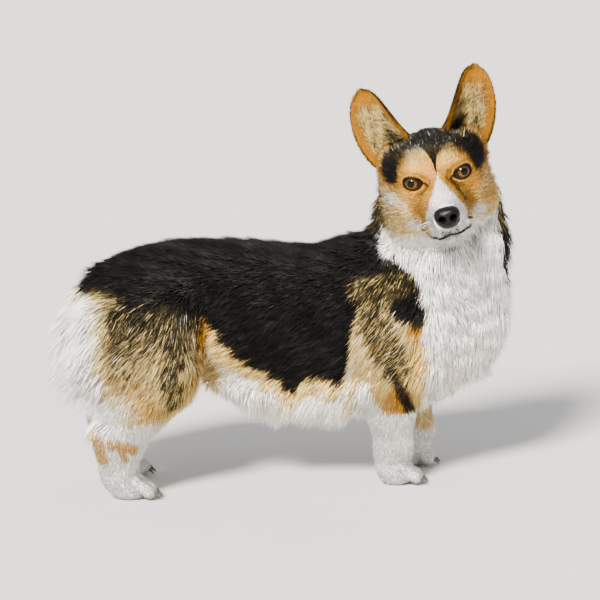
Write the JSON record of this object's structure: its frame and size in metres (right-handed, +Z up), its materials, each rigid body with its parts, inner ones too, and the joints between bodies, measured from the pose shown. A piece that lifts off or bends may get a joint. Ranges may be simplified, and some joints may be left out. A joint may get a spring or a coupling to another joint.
{
  "type": "pembroke welsh corgi",
  "caption": "Life-size tricolour Pembroke Welsh Corgi, standing with its head turned to its right, as a still display model.",
  "frame": {"origin": "centre of the footprint of the whole dog, on the floor under its paws", "axes": "+X towards the dog's front along its back, +Y to its left, +Z up"},
  "size_m": [0.5248, 0.2724, 0.4723],
  "materials": {
    "coat_black": "short sleek black coat with a soft sheen",
    "coat_tan": "tan coat grizzled with black and cream",
    "coat_white": "white coat, longer on the chest, the belly and the backs of the thighs",
    "coat_head": "very short tan coat with a black cap and a white blaze",
    "nose_leather": "moist pebbled black skin",
    "eye": "clear wet cornea over an amber-brown iris"
  },
  "bodies": {
    "root": {"head": "coat_head", "muzzle": "coat_white", "lower_jaw": "coat_white", "nose": "nose_leather", "ear_right": "coat_head", "ear_left": "coat_head", "eye_right": "eye", "eye_left": "eye", "neck": "coat_white", "torso": "coat_black", "tail": "coat_black", "upperarm_right": "coat_tan", "upperarm_left": "coat_tan", "foreleg_right": "coat_white", "foreleg_left": "coat_white", "forepaw_right": "coat_white", "forepaw_left": "coat_white", "thigh_right": "coat_tan", "thigh_left": "coat_tan", "hindleg_right": "coat_white", "hindleg_left": "coat_white", "hindpaw_right": "coat_white", "hindpaw_left": "coat_white"}
  },
  "joints": []
}
